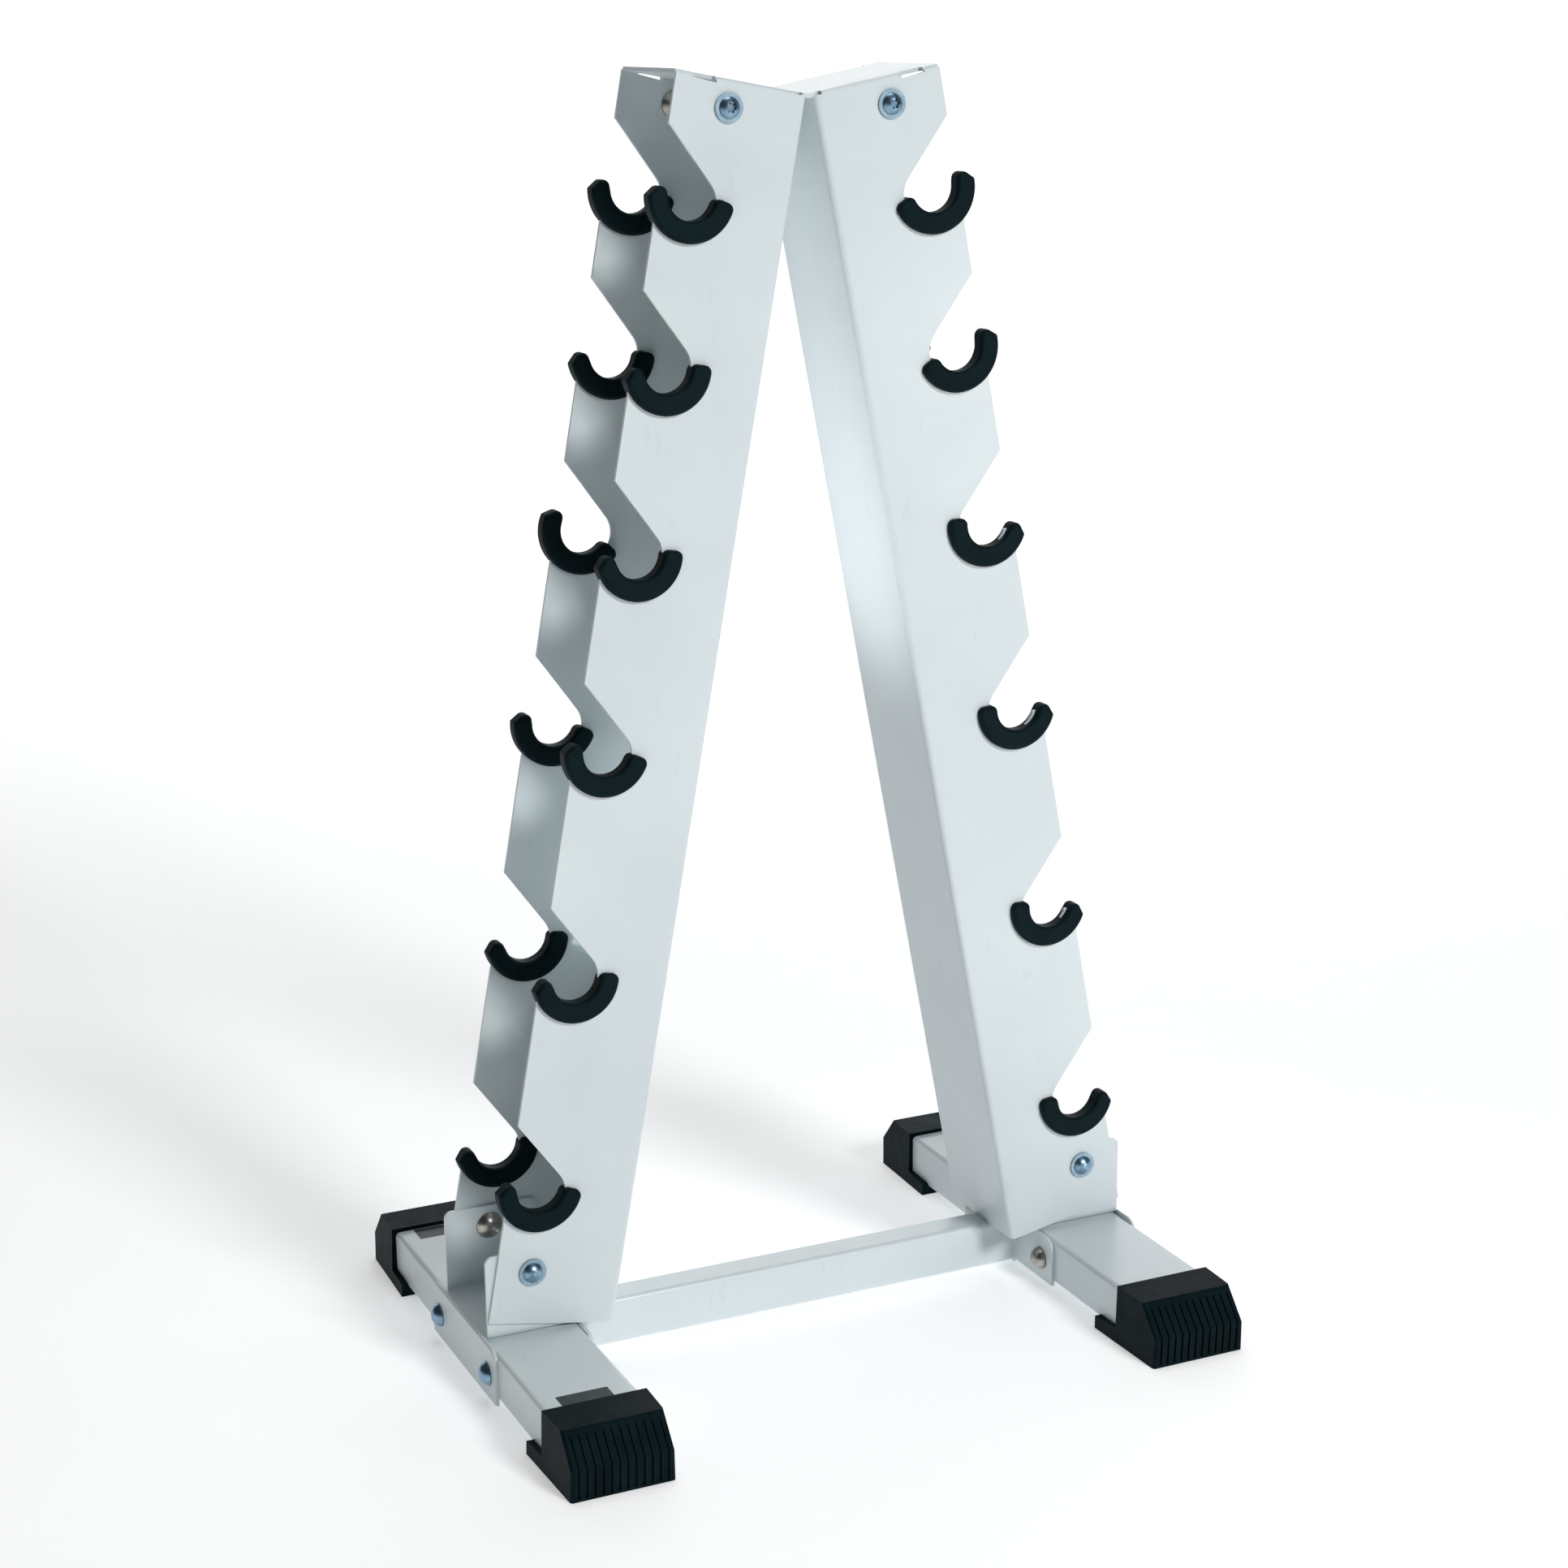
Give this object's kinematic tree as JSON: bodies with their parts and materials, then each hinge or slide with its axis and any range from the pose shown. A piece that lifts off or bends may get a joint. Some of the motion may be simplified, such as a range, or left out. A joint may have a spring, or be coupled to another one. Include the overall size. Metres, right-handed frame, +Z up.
{
  "type": "dumbbell rack",
  "caption": "Free-standing A-shaped dumbbell rack: two leaning saw-toothed channel uprights with rubber saddles, on ribbed-capped floor tubes.",
  "frame": {"origin": "on the floor at the centre of the footprint", "axes": "+Z up; +X from the left upright to the right one; -Y is the front; the left and right sides mirror each other about X = 0"},
  "size_m": [0.6128, 0.499, 1.0434],
  "materials": {
    "white_powder_coat": "semi-gloss white powder coat on folded steel",
    "cap_rubber": "matt black moulded rubber",
    "saddle_rubber": "matt black moulded rubber",
    "zinc_bolt": "bright bluish zinc plate",
    "zinc_washer": "bright zinc plate",
    "zinc_nut": "bright zinc plate",
    "label_film": "plain dark printed film"
  },
  "bodies": {
    "root": {"upright_left": "white_powder_coat", "upright_right": "white_powder_coat", "top_bracket": "white_powder_coat", "foot_bracket_left": "white_powder_coat", "floor_tube_left": "white_powder_coat", "cross_tube_end_plate_left": "white_powder_coat", "foot_bracket_right": "white_powder_coat", "floor_tube_right": "white_powder_coat", "cross_tube_end_plate_right": "white_powder_coat", "cross_tube": "white_powder_coat", "end_cap_front_left": "cap_rubber", "end_cap_front_right": "cap_rubber", "end_cap_rear_left": "cap_rubber", "end_cap_rear_right": "cap_rubber", "saddle_pad_left_front_1": "saddle_rubber", "saddle_pad_left_front_2": "saddle_rubber", "saddle_pad_left_front_3": "saddle_rubber", "saddle_pad_left_front_4": "saddle_rubber", "saddle_pad_left_front_5": "saddle_rubber", "saddle_pad_left_front_6": "saddle_rubber", "saddle_pad_left_rear_1": "saddle_rubber", "saddle_pad_left_rear_2": "saddle_rubber", "saddle_pad_left_rear_3": "saddle_rubber", "saddle_pad_left_rear_4": "saddle_rubber", "saddle_pad_left_rear_5": "saddle_rubber", "saddle_pad_left_rear_6": "saddle_rubber", "saddle_pad_right_front_1": "saddle_rubber", "saddle_pad_right_front_2": "saddle_rubber", "saddle_pad_right_front_3": "saddle_rubber", "saddle_pad_right_front_4": "saddle_rubber", "saddle_pad_right_front_5": "saddle_rubber", "saddle_pad_right_front_6": "saddle_rubber", "saddle_pad_right_rear_1": "saddle_rubber", "saddle_pad_right_rear_2": "saddle_rubber", "saddle_pad_right_rear_3": "saddle_rubber", "saddle_pad_right_rear_4": "saddle_rubber", "saddle_pad_right_rear_5": "saddle_rubber", "saddle_pad_right_rear_6": "saddle_rubber", "top_bolts": "zinc_bolt", "foot_bolts": "zinc_bolt", "base_carriage_bolts": "zinc_bolt", "top_bolt_washers": "zinc_washer", "foot_bolt_washers": "zinc_washer", "top_dome_nuts": "zinc_nut", "foot_dome_nuts": "zinc_nut", "base_dome_nuts": "zinc_nut", "blank_label_front": "label_film", "blank_label_rear": "label_film"}
  },
  "joints": []
}
